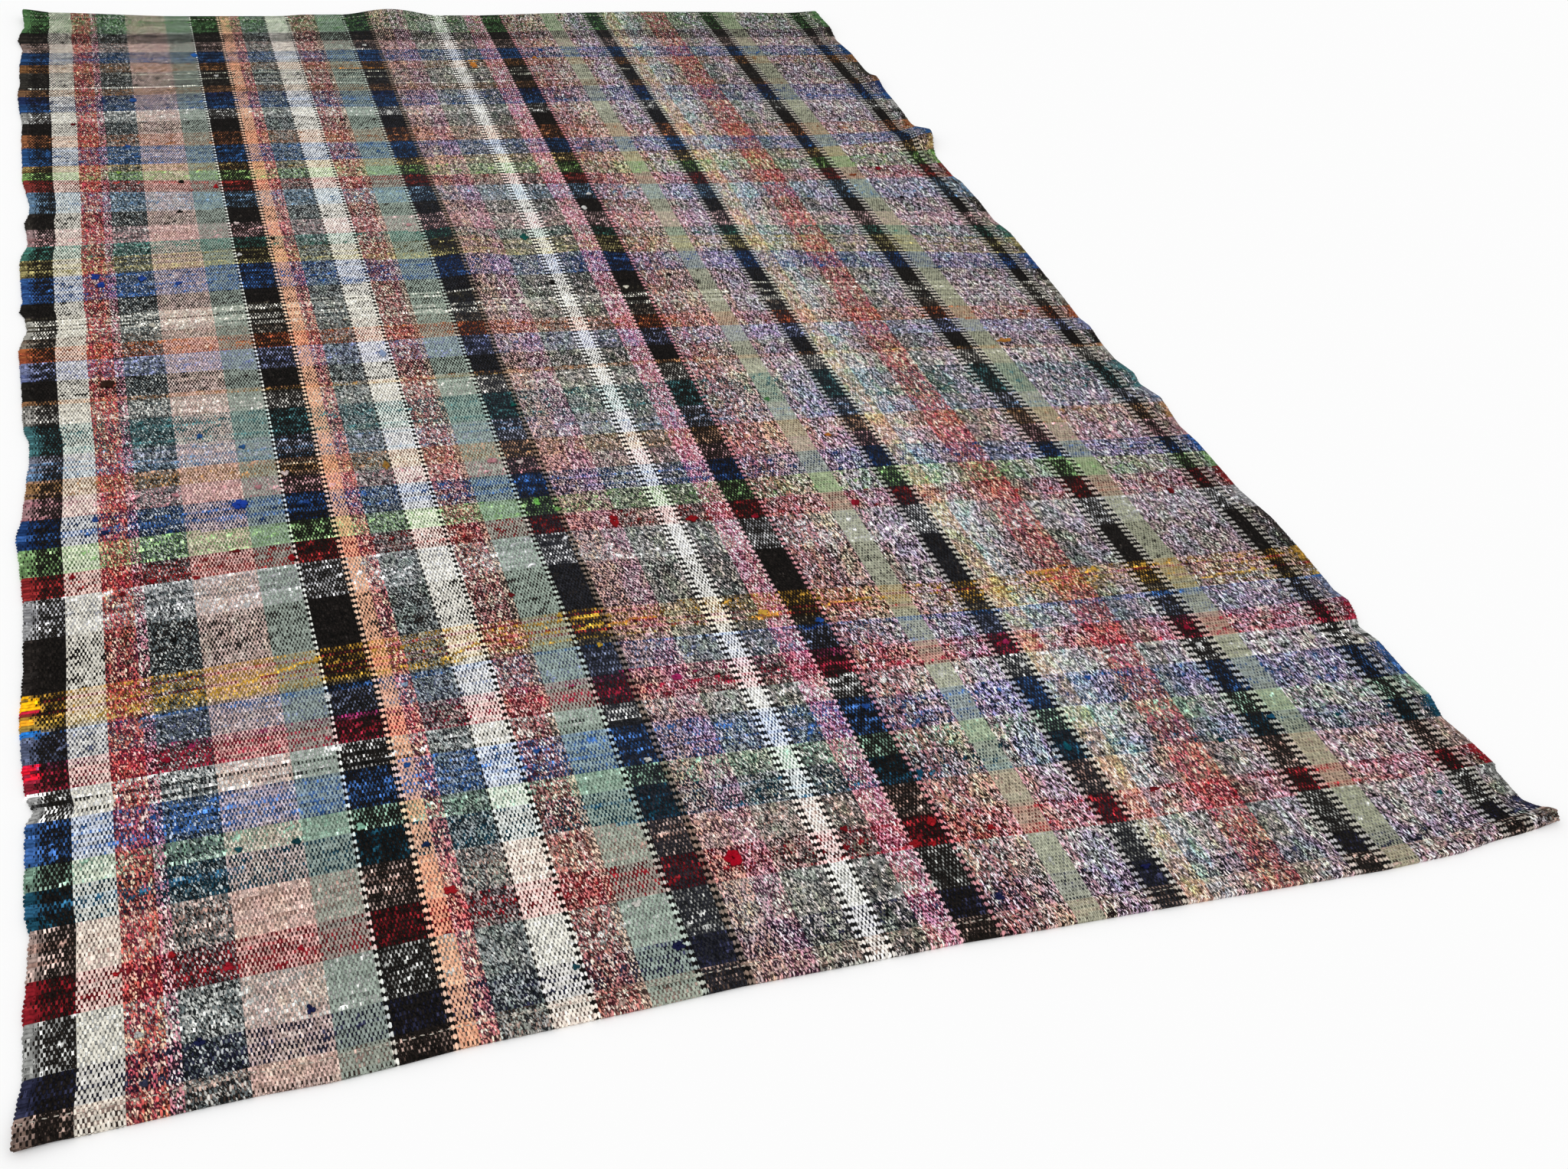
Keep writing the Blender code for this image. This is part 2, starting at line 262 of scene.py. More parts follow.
# Weft bands from the near end to the far end: the rag's colour, a second one, how many rows take it, and how
# thick the rags lie, from 0, sunk between the warps, to 1, covering them.
BANDS = table(
    "start first second share thick",
    # The first band, at the folded hem, has a dark second rag that is painted shade of the fold
    (0, "c0a498", "5c4c44", 0.4, 0.0),
    (31, "24263a", "3a3c58", 0.3, 0.1),
    (78, "c9cac6", "9c9e9a", 0.3, 0.0),
    (148, "781820", "a82c34", 0.3, 0.15),
    (199, "d8bcb2", "b89488", 0.3, 0.0),
    (261, "163c4c", "2c6080", 0.3, 0.1),
    (311, "9cc4ac", "c4ecd4", 0.3, 0.0),
    (350, "305488", "4a78c0", 0.3, 0.1),
    (415, "ececea", "343434", 0.25, 0.05),
    (457, "701c28", "b02c44", 0.4, 0.1),
    (497, "803050", "a83464", 0.3, 0.15),
    (507, "5c6480", "8c98b8", 0.4, 0.05),
    (555, "3a6098", "5080c8", 0.3, 0.15),
    (565, "746a58", "c0a058", 0.3, 0.08),
    (577, "907038", "c09c44", 0.3, 0.08),
    (592, "b88c38", "8c342c", 0.25, 0.15),
    (636, "201c1a", "2c2826", 0.3, 0.05),
    (739, "e0e0e2", "a0a0a4", 0.35, 0.08),
    (804, "6c1c1e", "942c2c", 0.3, 0.15),
    (857, "84ac70", "b0d898", 0.3, 0.0),
    (903, "1a3460", "3862a4", 0.4, 0.15),
    (960, "d4a4a8", "b88088", 0.3, 0.0),
    (1004, "c89c80", "a07850", 0.4, 0.05),
    (1050, "a0a4b8", "6c8cb0", 0.3, 0.05),
    (1103, "3c6468", "4c8084", 0.3, 0.1),
    (1182, "e4e0d8", "a09c94", 0.3, 0.0),
    (1230, "b08058", "c89c54", 0.3, 0.06),
    (1244, "161412", "24201e", 0.3, 0.1),
    (1298, "8890b8", "646e9c", 0.3, 0.05),
    (1351, "90482e", "a86038", 0.4, 0.15),
    (1400, "6a5c50", "8a8074", 0.4, 0.05),
    (1431, "f0ede0", "3c382e", 0.35, 0.1),
    (1503, "161412", "24201e", 0.3, 0.1),
    (1547, "223e70", "345a94", 0.4, 0.2),
    (1624, "c0b478", "50482c", 0.35, 0.1),
    (1684, "345c50", "40746a", 0.3, 0.1),
    (1726, "dcb8b8", "b88c8c", 0.3, 0.0),
    (1783, "221f1c", "302c28", 0.3, 0.1),
    (1835, "7c9cb8", "5c80a4", 0.3, 0.05),
    (1899, "6c2c28", "94302a", 0.3, 0.15),
    (1945, "90b46c", "70a050", 0.3, 0.0),
    (1989, "b09860", "88683c", 0.4, 0.05),
    (2025, "20426c", "345f98", 0.3, 0.2),
    (2099, "805034", "9c6440", 0.4, 0.1),
    (2157, "161412", "24201e", 0.3, 0.1),
    (2212, "d4d4d0", "848480", 0.35, 0.0),
    (2262, "1e3a60", "2c5690", 0.3, 0.3),
    (2300, "1a284c", "243e68", 0.3, 0.28),
    (2339, "584030", "745438", 0.4, 0.26),
    (2367, "2a2824", "b4b4a4", 0.08, 0.24),
    (2450, "745030", "644428", 0.3, 0.24),
    (2490, "183050", "284c7c", 0.3, 0.36),
    (2553, "8c7a74", "7a665e", 0.3, 0.2),
    (2600, "181614", "26221e", 0.3, 0.52),
    (2651, "4c7044", "3c5c38", 0.4, 0.28),
)

# Single rags and threads that stand out from their band, from one place to another.
STREAKS = table(
    "across along across_end along_end colour thick",
    (0, 606, 19, 604, "e8a810", 1), (0, 600, 17, 599, "e8a810", 1), (0, 594, 22, 593, "e0a010", 1),
    (0, 588, 20, 587, "e8a810", 1), (0, 582, 17, 581, "b01c34", 1), (0, 570, 15, 569, "e09820", 1),
    (0, 564, 14, 563, "e09820", 1), (0, 546, 20, 545, "2070c0", 1), (0, 540, 18, 539, "2868b0", 1),
    (0, 490, 18, 489, "d01838", 1), (0, 484, 16, 483, "d81830", 1), (0, 478, 19, 477, "c81428", 1),
    (0, 472, 17, 471, "d81830", 1), (0, 444, 16, 443, "f0f0f0", 1), (100, 572, 500, 573, "d8a840", 0.3),
    (200, 575, 290, 600, "d8a840", 0.75), (290, 600, 340, 615, "d8a840", 0.75),
    (478, 580, 530, 600, "e0b050", 0.75), (340, 503, 392, 503, "b03878", 0.4),
    (340, 470, 392, 474, "781820", 0.4), (200, 416, 235, 416, "f2f2f0", 0.5),
    (60, 446, 330, 448, "e8e8e6", 0.2), (658, 432, 696, 432, "f2f2f0", 0.4),
    (658, 446, 696, 446, "f2f2f0", 0.4), (952, 428, 990, 432, "f2f2f0", 0.5),
    (952, 446, 990, 450, "f2f2f0", 0.5), (700, 606, 770, 612, "e09038", 0.75),
    (890, 584, 940, 590, "e0a048", 0.75), (900, 580, 935, 586, "e09838", 0.75),
    (1000, 592, 1070, 596, "e0a040", 0.75), (658, 604, 696, 606, "d8b040", 0.75),
    (658, 626, 696, 628, "d8b040", 0.75), (1310, 606, 1380, 612, "d88c3c", 0.75),
    (1400, 594, 1420, 596, "dcb048", 0.75), (1475, 588, 1490, 590, "dcb048", 0.75),
    (1560, 548, 1660, 552, "d0a848", 0.75), (955, 548, 985, 552, "2c5cb8", 0.5),
    (1200, 470, 1215, 474, "a01c38", 0.5), (1620, 448, 1640, 450, "a01c38", 0.5),
    (1725, 430, 1746, 436, "a01c38", 0.5), (1065, 158, 1120, 142, "a82028", 0.4),
    (605, 2452, 700, 2452, "d08838", 0.5), (1087, 2530, 1150, 2530, "2c58a0", 0.5),
    (640, 2555, 685, 2555, "ecece8", 0.4), (1450, 866, 1500, 868, "7cae62", 0.4),
    (340, 1036, 392, 1038, "e0c8a8", 0.4), (45, 1190, 330, 1192, "f0ece4", 0.2),
    (398, 1442, 640, 1440, "f4f0e4", 0.2), (697, 1450, 950, 1446, "f4f0e4", 0.2),
    (1000, 1436, 1180, 1430, "f4f0e4", 0.2), (10, 2372, 330, 2372, "e0e0d4", 0.2),
    (398, 2376, 655, 2376, "e0e0d4", 0.2), (707, 2374, 946, 2373, "e0e0d4", 0.2),
    (996, 2373, 1180, 2372, "e0e0d4", 0.2), (874, 2486, 896, 2487, "d89838", 0.8),
    (876, 2474, 892, 2474, "d89838", 0.8), (878, 2446, 890, 2446, "d08438", 0.8),
)

# Where a rag is knotted on or bunched up: its size as it lies on the cloth, and its colour.
KNOTS = table(
    "across along wide long colour",
    (737, 180, 20, 26, "c8102a"), (272, 947, 22, 22, "2448b0"), (951, 154, 16, 12, "a81c24"),
    (972, 150, 10, 8, "a81c24"), (983, 182, 12, 14, "b02028"), (1051, 158, 10, 8, "a81c24"),
    (191, 155, 9, 12, "b02030"), (263, 163, 6, 9, "b02030"), (150, 468, 10, 10, "a01c34"),
    (423, 205, 15, 12, "b02028"), (138, 183, 8, 8, "b02028"), (85, 172, 8, 5, "b02028"),
    (870, 167, 8, 8, "801820"), (878, 195, 9, 8, "801820"), (263, 83, 9, 12, "20244c"),
    (157, 70, 10, 10, "20244c"), (642, 74, 14, 12, "20244c"), (1015, 57, 10, 12, "20244c"),
    (1207, 60, 14, 7, "24285c"), (104, 35, 9, 8, "3c4058"), (102, 92, 9, 8, "c8c8c4"),
    (482, 421, 10, 8, "eeeeec"), (338, 538, 9, 7, "eeeeec"), (430, 542, 9, 8, "a8c0dc"),
    (614, 141, 12, 8, "e8e4dc"), (685, 353, 9, 8, "e8e8e4"), (1217, 420, 8, 8, "eeeeec"),
    (1483, 409, 8, 10, "eeeeec"), (1694, 512, 8, 8, "e8e8ec"), (1657, 392, 8, 9, "ece4d0"),
    (275, 312, 10, 8, "144048"), (215, 313, 8, 8, "1c5058"), (410, 404, 8, 8, "2c58a0"),
    (153, 358, 8, 8, "2c58a0"), (131, 381, 8, 8, "2c58a0"), (560, 395, 8, 8, "2c58a0"),
    (410, 276, 9, 8, "1c3058"), (345, 318, 9, 12, "a4dcc0"), (530, 73, 8, 8, "20505c"),
    (760, 488, 14, 12, "b02c68"), (178, 485, 9, 8, "a82c5c"), (1215, 468, 10, 10, "a82c5c"),
    (1485, 447, 9, 9, "a01c38"), (643, 632, 8, 8, "d8b040"), (910, 590, 16, 12, "e0b048"),
    (1495, 589, 8, 8, "dcb048"), (1415, 595, 8, 8, "dcb048"), (680, 565, 8, 8, "d8b040"),
    (980, 387, 9, 9, "2c58a8"), (980, 560, 12, 10, "2c58a8"), (1295, 379, 9, 9, "2c58a8"),
    (1002, 262, 8, 14, "1c5878"), (1206, 264, 8, 14, "186070"), (1505, 258, 12, 8, "1c5878"),
    (1412, 232, 9, 8, "144850"), (1281, 172, 14, 6, "781820"), (1600, 242, 12, 5, "144850"),
    (1648, 85, 8, 8, "206068"), (88, 945, 8, 12, "2c4c90"), (98, 915, 9, 9, "1c2c58"),
    (339, 1012, 12, 10, "e8d4d0"), (360, 940, 9, 9, "2c4c90"), (478, 1010, 10, 20, "b88840"),
    (258, 845, 12, 6, "701c20"), (152, 800, 8, 9, "981c24"), (205, 797, 8, 8, "981c24"),
    (326, 818, 10, 14, "a01c24"), (57, 826, 8, 8, "981c24"), (262, 730, 8, 12, "e8e8e8"),
    (115, 780, 9, 9, "701c20"), (170, 678, 9, 9, "1c1a18"), (232, 1122, 8, 12, "2c5c9c"),
    (288, 1085, 9, 9, "3464a0"), (300, 985, 9, 9, "d09098"), (192, 985, 9, 9, "d09098"),
    (520, 1315, 10, 20, "a4b8dc"), (115, 1282, 20, 20, "38241c"), (591, 685, 9, 8, "701c20"),
    (670, 887, 8, 20, "7cc860"), (695, 865, 9, 9, "7cb060"), (766, 824, 14, 30, "a81c24"),
    (667, 988, 10, 9, "e8d4d0"), (628, 998, 16, 12, "d898a0"), (690, 1140, 9, 9, "1c6058"),
    (877, 810, 18, 14, "a81c24"), (968, 800, 10, 9, "a01c30"), (1127, 807, 14, 14, "a01c30"),
    (1087, 1098, 9, 9, "488048"), (1150, 985, 10, 9, "d08038"), (1633, 752, 10, 16, "701c20"),
    (1565, 1217, 30, 12, "c88840"), (1640, 1310, 10, 10, "8c4426"), (260, 1948, 10, 10, "1c1a18"),
    (335, 1664, 9, 9, "e8e8e4"), (107, 1612, 14, 20, "2444a0"), (115, 1584, 12, 18, "2444a0"),
    (177, 1599, 12, 20, "2c50a8"), (232, 1577, 10, 10, "2c50a8"), (157, 1994, 9, 9, "a0c860"),
    (250, 1832, 10, 10, "1c1a18"), (340, 1778, 9, 9, "e8d4d0"), (185, 1447, 10, 12, "f0ead8"),
    (317, 1924, 8, 14, "a81c24"), (394, 1717, 9, 9, "1c1a18"), (180, 1389, 9, 9, "8c4426"),
    (957, 1777, 10, 16, "ecece8"), (980, 1837, 9, 9, "ecece8"), (777, 1447, 12, 16, "f0ead8"),
    (769, 1472, 10, 10, "f0ead8"), (957, 1479, 9, 9, "f0ead8"), (1030, 1422, 9, 9, "f0ead8"),
    (1070, 1440, 9, 9, "f0ead8"), (822, 1677, 14, 24, "1c6058"), (727, 2031, 10, 10, "ece4d4"),
    (630, 1744, 10, 9, "d8a0a4"), (672, 1962, 9, 9, "78a858"), (835, 1509, 9, 9, "1c1a18"),
    (1045, 1512, 9, 9, "1c1a18"), (1377, 1904, 9, 9, "701c20"), (1595, 1897, 14, 14, "981c2c"),
    (1532, 1872, 16, 6, "8c4426"), (1422, 2014, 9, 9, "e4dcd4"), (1595, 1767, 10, 9, "1c1a18"),
    (322, 2530, 12, 20, "3070c8"), (195, 2310, 14, 16, "2c58a0"), (177, 2102, 10, 10, "2c58a0"),
    (85, 2205, 9, 9, "701c20"), (357, 2417, 9, 9, "e8e8e4"), (670, 2225, 10, 20, "ecece8"),
    (672, 2575, 9, 9, "ecece8"), (882, 2457, 14, 30, "d08438"), (1020, 2487, 10, 10, "d08438"),
    (785, 2260, 10, 9, "ecece8"), (1042, 2530, 10, 10, "2c58a0"), (1742, 2097, 10, 10, "8c4426"),
)


def linear(code):
    """A colour as written for the screen, as the shader's linear red, green and blue."""
    parts = [int(code[place : place + 2], 16) / 255 for place in (0, 2, 4)]
    return [part / 12.92 if part <= 0.04045 else ((part + 0.055) / 1.055) ** 2.4 for part in parts]


def add_node(tree, kind, *inputs, out=0, **settings):
    """Adds a node, such as "Math:ADD", sets it, feeds its inputs in order and gives back one output."""
    kind, _, operation = kind.partition(":")
    node = tree.nodes.new("ShaderNode" + kind)
    if operation:
        settings["operation"] = operation
    for name, value in settings.items():
        setattr(node, name, value)
    for socket, value in zip(node.inputs, inputs):
        if isinstance(value, bpy.types.NodeSocket):
            tree.links.new(value, socket)
        elif value is not None:
            socket.default_value = value
    return node.outputs[out]


# ------------------------------------------------------------------------------------- where the cloth lies


def edge_curve(points, places):
    """How far out an edge is, in metres, at places along it in metres."""
    return np.interp(places, [point.at * MM for point in points], [point.out * MM for point in points])


def smoothed(values, axis, width):
    """Values with their corners rounded off along one axis, over an odd number of steps."""
    pad = [(0, 0), (0, 0)]
    pad[axis] = (width // 2, width // 2)
    padded = np.pad(values, pad, mode="edge")
    kernel = np.hanning(width + 2)[1:-1]
    kernel /= kernel.sum()
    return np.apply_along_axis(lambda line: np.convolve(line, kernel, "valid"), axis, padded)


def table_surface(rows, across, along):
    """A table of shifts, worked out in metres over a grid of places in metres."""
    places = [int(name.split("_")[1]) * MM for name in rows[0]._fields[1:]]
    starts = [row.along * MM for row in rows]
    by_row = np.array([row[1:] for row in rows]) * MM
    columns = np.stack([np.interp(along, starts, by_row[:, index]) for index in range(len(places))], 1)
    return np.stack([np.interp(across, places, column) for column in columns])


def lift_at(across, along):
    """How high the swells lift the cloth off the floor."""
    lift = np.zeros_like(across)
    for swell in SWELLS:
        dx = (across - swell.across * MM) / (swell.half_across * MM)
        dy = (along - swell.along * MM) / (swell.half_along * MM)
        lift += swell.height * MM * np.clip(1 - dx * dx - dy * dy, 0, None) ** 2
    return lift


GRID_STEP = 0.010  # the grid on which the shifts are smoothed
SMOOTH_STEPS = 9
GRID_ACROSS = np.arange(0, WIDTH + GRID_STEP, GRID_STEP)
GRID_ALONG = np.arange(0, LENGTH + GRID_STEP, GRID_STEP)


def smooth_table(rows):
    """A table of shifts over the whole rug, without corners."""
    surface = table_surface(rows, GRID_ACROSS, GRID_ALONG)
    for axis in (0, 1):
        surface = smoothed(surface, axis, SMOOTH_STEPS)
    return surface


DRIFT_SURFACE = smooth_table(DRIFTS)
WANDER_SURFACE = smooth_table(WANDERS)


def looked_up(surface, across, along):
    """A smoothed shift at places in metres."""
    column = np.clip(across / GRID_STEP, 0, surface.shape[1] - 1.001)
    row = np.clip(along / GRID_STEP, 0, surface.shape[0] - 1.001)
    left, low = column.astype(int), row.astype(int)
    right_share, high_share = column - left, row - low
    lower = surface[low, left] * (1 - right_share) + surface[low, left + 1] * right_share
    upper = surface[low + 1, left] * (1 - right_share) + surface[low + 1, left + 1] * right_share
    return lower * (1 - high_share) + upper * high_share


def laid_out(warp_place, weft_place):
    """Where a crossing of threads lies on the floor, and how high its underside is. Places in metres."""
    along = weft_place + looked_up(DRIFT_SURFACE, warp_place, weft_place)
    along = np.clip(along, 0, LENGTH)
    across = warp_place + looked_up(WANDER_SURFACE, warp_place, weft_place)
    x = across - edge_curve(LEFT_SELVEDGE, along) * np.exp(-across / SELVEDGE_REACH)
    x = x + edge_curve(RIGHT_SELVEDGE, along) * np.exp(-(WIDTH - across) / SELVEDGE_REACH)
    y = along - edge_curve(NEAR_END, across) * np.exp(-along / END_REACH)
    y = y + edge_curve(FAR_END, across) * np.exp(-(LENGTH - along) / END_REACH)
    return x, y, lift_at(x, y)


def thickness_at(weft_place):
    """The cloth is thicker where it is folded over into a hem."""
    from_end = np.minimum(weft_place, LENGTH - weft_place)
    fold = np.clip((HEM_DEPTH + HEM_STEP - from_end) / HEM_STEP, 0, 1)
    return CLOTH + HEM_EXTRA * fold


def height_share(weft_place, on_top):
    """How high a point of the face or underside is, as a share of the thickness. The fold is round."""
    from_end = np.minimum(weft_place, LENGTH - weft_place)
    to_end = np.clip(1 - from_end / FOLD, 0, 1)
    turned = 1 - np.sqrt(1 - to_end**2)
    return np.where(on_top > 0, 1 - FOLD_TOP * turned, FOLD_UNDER * turned)


# ---------------------------------------------------------------------------------------- the weaving draft

YARNS = ("first", "second", "third")
STRIPE_STARTS = [round(stripe.start * MM / WARP) for stripe in STRIPES]  # counted in warps


def column_edges():
    """The warps between which the faces meet: every stripe's edge, and some in between."""
    edges = []
    for first, last in zip(STRIPE_STARTS, STRIPE_STARTS[1:] + [WARPS]):
        parts = math.ceil((last - first) / MOST_WARPS)
        edges += [first + (last - first) * part / parts for part in range(parts)]
    return edges + [WARPS]


def column_stripes(edges):
    """For each column of faces, its stripe's place in the table."""
    return np.searchsorted(STRIPE_STARTS, np.array(edges[:-1]) + 0.01, "right") - 1


def wavy(rng, count, scale):
    """A random line between -1 and 1, with a turn about every so many steps."""
    turns = rng.uniform(-1, 1, int(count / scale) + 3)
    return np.interp(np.arange(count) / scale, np.arange(len(turns)), turns)


def draft_wefts(edges):
    """The rags' colour and thickness for each row of weft and column of faces."""
    rng = np.random.default_rng(SEED)
    middles = (np.array(edges[1:]) + np.array(edges[:-1])) / 2 * WARP / MM
    starts = np.array([band.start for band in BANDS])
    dyes = np.array([(linear(band.first), linear(band.second)) for band in BANDS])
    colours = np.zeros((PICKS, len(middles), 3))
    thick = np.zeros((PICKS + 1, len(edges)))
    corners = np.array(edges) * WARP / MM
    for pick in range(PICKS):
        along = (pick + 0.5) * PICK / MM
        place = -rng.uniform(0, FIRST_RAG)
        while place < WIDTH / MM:
            rag = rng.uniform(*RAG_RUN)
            here = (middles >= place) & (middles < place + rag)
            astray = along + rng.uniform(-BAND_STRAY, BAND_STRAY)
            band = max(0, np.searchsorted(starts, astray, "right") - 1)
            second = int(rng.random() < BANDS[band].share)
            colours[pick, here] = dyes[band, second] * rng.uniform(*RAG_SHADE)
            under = (corners >= place) & (corners < place + rag)
            thick[pick, under] = BANDS[band].thick + rng.uniform(*RAG_SCATTER)
            place += rag
        thick[pick] += sum(height * wavy(rng, len(edges), scale) for height, scale in RAG_WAVES)
    shows = [STRIPES[index].show for index in column_stripes(edges)]
    thick += np.array(shows + shows[-1:])
    from_edge = np.minimum(corners, WIDTH / MM - corners)
    thick += SELVEDGE_THICK * np.clip((SELVEDGE - from_edge) / SELVEDGE_EASE, 0, 1)
    turning = np.minimum(middles, WIDTH / MM - middles) < SELVEDGE
    turning_rags = colours[:, turning]
    colours[:, turning] = turning_rags / (1 + SELVEDGE_DULL * turning_rags.mean(2, keepdims=True))
    return colours, thick


def draft_bunches(thick):
    """Short thick places where a rag is bunched or joined, drawn over the rows."""
    rng = np.random.default_rng(SEED + 1)
    for _ in range(BUNCHES):
        pick = int(rng.integers(1, PICKS - 1))
        corner = int(rng.integers(1, thick.shape[1] - 1))
        thick[pick, corner] += rng.uniform(*BUNCH_THICK)


def draft_streaks(colours, thick, edges):
    """Lays single rags over their rows. Their places are as seen, so the rows' drift is taken off."""
    corners = np.array(edges) * WARP
    middles = (corners[1:] + corners[:-1]) / 2
    for streak in STREAKS:
        ends = (streak.across * MM, streak.across_end * MM)
        layers = ((middles, colours, linear(streak.colour)), (corners, thick, streak.thick))
        for places, layer, value in layers:
            here = np.flatnonzero((places > ends[0]) & (places < ends[1]))
            along = np.interp(places[here], ends, (streak.along * MM, streak.along_end * MM))
            picks = (along - looked_up(DRIFT_SURFACE, places[here], along)) / PICK
            layer[np.clip(picks, 0, PICKS - 1).astype(int), here] = value


# -------------------------------------------------------------------------------------------- the materials


def new_material(name, roughness, shine):
    """A material with its node tree and its shader."""
    material = bpy.data.materials.new(name)
    material.use_nodes = True
    shader = material.node_tree.nodes["Principled BSDF"]
    shader.inputs["Roughness"].default_value = roughness
    shader.inputs["Specular IOR Level"].default_value = shine
    return material, material.node_tree, shader


def weave_material():
    """Cotton warp over rag weft in plain weave: dull, soft and a little hairy, with next to no shine.

    The map "threads" counts warps across, 2.24 mm apart, and rows of weft along, 5.7 mm apart. A noise that
    is scaled by 0.36 and 0.42 on it so has spots about 1 / 0.36 warps wide and 1 / 0.42 rows long.
    """
    material, tree, shader = new_material("woven_rag_cloth", 0.88, 0.04)
    add = partial(add_node, tree)
    threads = add("UVMap", uv_map="threads")

    # The threads wander a little, over 11 mm across and 27 mm along, so that no two crossings are alike
    wobble = add("TexNoise", threads, None, 0.21, 1.0, 0.5, out=1, noise_dimensions="2D")
    wobble = add("VectorMath:SUBTRACT", wobble, (0.5, 0.5, 0.5))
    wobble = add("VectorMath:MULTIPLY", wobble, (0.9, 0.5, 0.0))
    moved = add("VectorMath:ADD", threads, wobble)
    across = add("SeparateXYZ", moved, out=0)
    along = add("SeparateXYZ", moved, out=1)
    warp = add("Math:FLOOR", across)
    pick = add("Math:FLOOR", along)
    from_warp = add("Math:SUBTRACT", add("Math:SUBTRACT", across, warp), 0.5)
    from_pick = add("Math:SUBTRACT", add("Math:SUBTRACT", along, pick), 0.5)
    beside = add("Math:ABSOLUTE", from_warp)
    before = add("Math:ABSOLUTE", from_pick)
    weft_up = add("Math:PINGPONG", add("Math:ADD", warp, pick), 1.0)
    cell = add("CombineXYZ", warp, pick, 0.0)
    luck = add("TexWhiteNoise", cell, noise_dimensions="2D")
    luck_two = add("SeparateXYZ", add("TexWhiteNoise", cell, out=1, noise_dimensions="2D"), out=1)
    ladder = add("Attribute", attribute_name="ladder", out=2)
    grain = add("Attribute", attribute_name="grain", out=2)

    # How far the rag pushes the warps apart here: none closes the gap, and 1 covers the warps. It sets half
    # the width of a warp where it floats over a rag, in warps, and half the length of its float, in rows
    thick = add("Attribute", attribute_name="weft_thick", out=2)
    covered = add("Math:GREATER_THAN", thick, 0.9)
    thick = add("Math:MULTIPLY_ADD", add("Math:SUBTRACT", luck_two, 0.5), 0.55, thick)
    thick = add("Math:MINIMUM", add("Math:MAXIMUM", thick, -0.25), 1.0)
    half_warp = add("Math:MULTIPLY_ADD", thick, -0.60, 0.71)
    half_warp = add("Math:MULTIPLY_ADD", ladder, 0.30, half_warp)
    rib = add("Attribute", attribute_name="rib", out=2)
    half_warp = add("Math:MULTIPLY_ADD", rib, -0.10, half_warp)
    half_float = add("Math:MULTIPLY_ADD", thick, -0.54, 0.72)
    half_float = add("Math:MULTIPLY_ADD", rib, 0.28, half_float)

    def bulge(distance, half):
        return add("Math:POWER", add("Math:DIVIDE", distance, half), 2.4)

    # How far this place is from the middle of the nearest float, whose outline is at 1. That is this
    # crossing's own float, or one that reaches over from the next warp or row
    beside_far = add("Math:SUBTRACT", 1.0, beside)
    before_far = add("Math:SUBTRACT", 1.0, before)
    own = add("Math:ADD", bulge(beside, half_warp), bulge(before, half_float))
    neighbour = add("Math:ADD", bulge(beside_far, half_warp), bulge(before, half_float))
    following = add("Math:ADD", bulge(beside, half_warp), bulge(before_far, half_float))
    nearest = add("Math:MINIMUM", neighbour, following)
    from_float = add("Math:MULTIPLY_ADD", add("Math:SUBTRACT", nearest, own), weft_up, own)
    is_warp = add("Math:LESS_THAN", from_float, 1.0)
    is_warp = add("Math:MULTIPLY", is_warp, add("Math:SUBTRACT", 1.0, covered))
    dome = add("Math:SQRT", add("Math:MAXIMUM", add("Math:SUBTRACT", 1.0, from_float), 0.0))

    # Which warp is seen, and its place along its twist. A ply shows for 3 to 4.4 mm, which is coarser than
    # the real 1 mm, because that wouldn't show
    side = add("Math:LESS_THAN", neighbour, following)
    side = add("Math:MULTIPLY", add("Math:MULTIPLY", side, weft_up), add("Math:SIGN", from_warp))
    seen = add("Math:ADD", warp, side)
    from_seen = add("Math:SUBTRACT", from_warp, side)
    seen_line = add("CombineXYZ", seen, 5.0, 0.0)
    start = add("TexWhiteNoise", seen_line, noise_dimensions="2D")
    turns = add("Math:MULTIPLY_ADD", grain, -0.6, 1.9)
    turn = add("Math:MULTIPLY_ADD", along, turns, add("Math:MULTIPLY", start, 29.0))
    turn = add("Math:MULTIPLY_ADD", from_seen, 1.1, turn)
    ply = add("CombineXYZ", seen, add("Math:FLOOR", turn), 0.0)
    yarn = add("TexWhiteNoise", ply, noise_dimensions="2D")

    # Which yarn of the three: by the ply, by the float, and by a drift over patches of 6 mm by 14 mm. The
    # warps of a ladder take turns
    odd_warp = add("Math:PINGPONG", seen, 1.0)
    float_count = add("Math:MULTIPLY", add("Math:ADD", add("Math:ADD", along, 0.5), odd_warp), 0.5)
    one_float = add("CombineXYZ", seen, add("Math:FLOOR", float_count), 3.0)
    float_luck = add("TexWhiteNoise", one_float, noise_dimensions="3D")
    drawn = add("VectorMath:MULTIPLY", threads, (0.36, 0.42, 0.0))
    patch = add("TexNoise", drawn, None, 1.0, 2.0, 0.55, noise_dimensions="2D")
    by_float = add("Math:MULTIPLY_ADD", grain, 0.45, 0.20)
    yarn = add("Math:MULTIPLY_ADD", add("Math:SUBTRACT", float_luck, 0.5), by_float, yarn)
    by_patch = add("Math:MULTIPLY_ADD", grain, 0.7, 1.2)
    yarn = add("Math:MULTIPLY_ADD", add("Math:SUBTRACT", patch, 0.5), by_patch, yarn)
    yarn = add("Math:MULTIPLY_ADD", add("Math:SUBTRACT", odd_warp, yarn), ladder, yarn)
    second = add("Math:MULTIPLY_ADD", yarn, 12.0, -3.3, use_clamp=True)
    light_from = add("Math:MULTIPLY_ADD", grain, -0.3, -8.7)
    third = add("Math:MULTIPLY_ADD", yarn, 12.0, light_from, use_clamp=True)
    colours = [add("Attribute", attribute_name="warp_" + name) for name in YARNS]
    cotton = add("MixRGB", second, colours[0], colours[1])
    cotton = add("MixRGB", third, cotton, colours[2])

